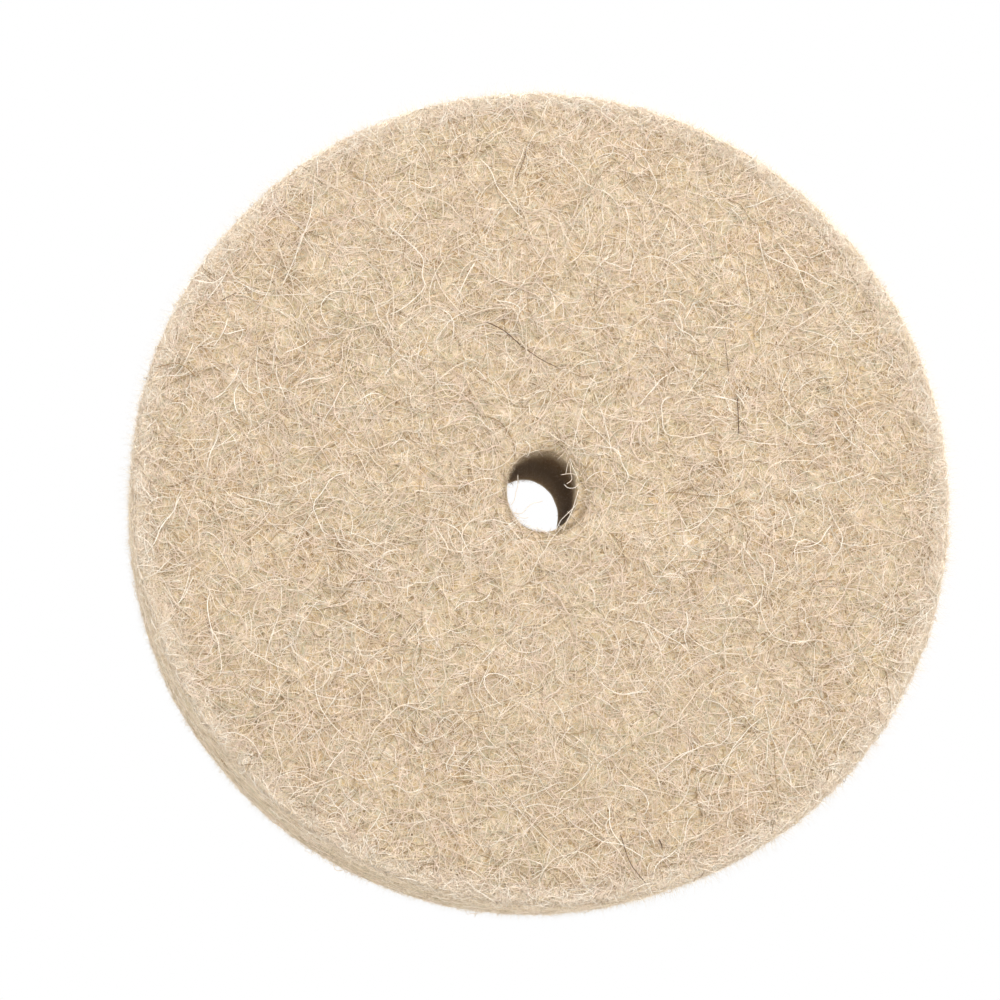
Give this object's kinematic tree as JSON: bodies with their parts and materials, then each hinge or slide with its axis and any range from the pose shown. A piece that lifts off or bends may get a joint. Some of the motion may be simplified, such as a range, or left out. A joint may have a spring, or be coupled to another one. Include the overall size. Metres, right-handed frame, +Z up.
{
  "type": "felt polishing wheel",
  "caption": "Thick flat disc of coarse pressed wool felt with a plain central arbor hole, for polishing stone, glass and metal.",
  "frame": {"origin": "centre of the arbor hole, half way through the wheel's thickness", "axes": "+Z up, +Y along the arbor hole towards the back face, -Y out of the front working face"},
  "size_m": [0.125, 0.025, 0.125],
  "materials": {
    "wool_felt": "matte, coarse cream wool felt with a loose hairy nap"
  },
  "bodies": {
    "root": {"felt_disc": "wool_felt"}
  },
  "joints": []
}
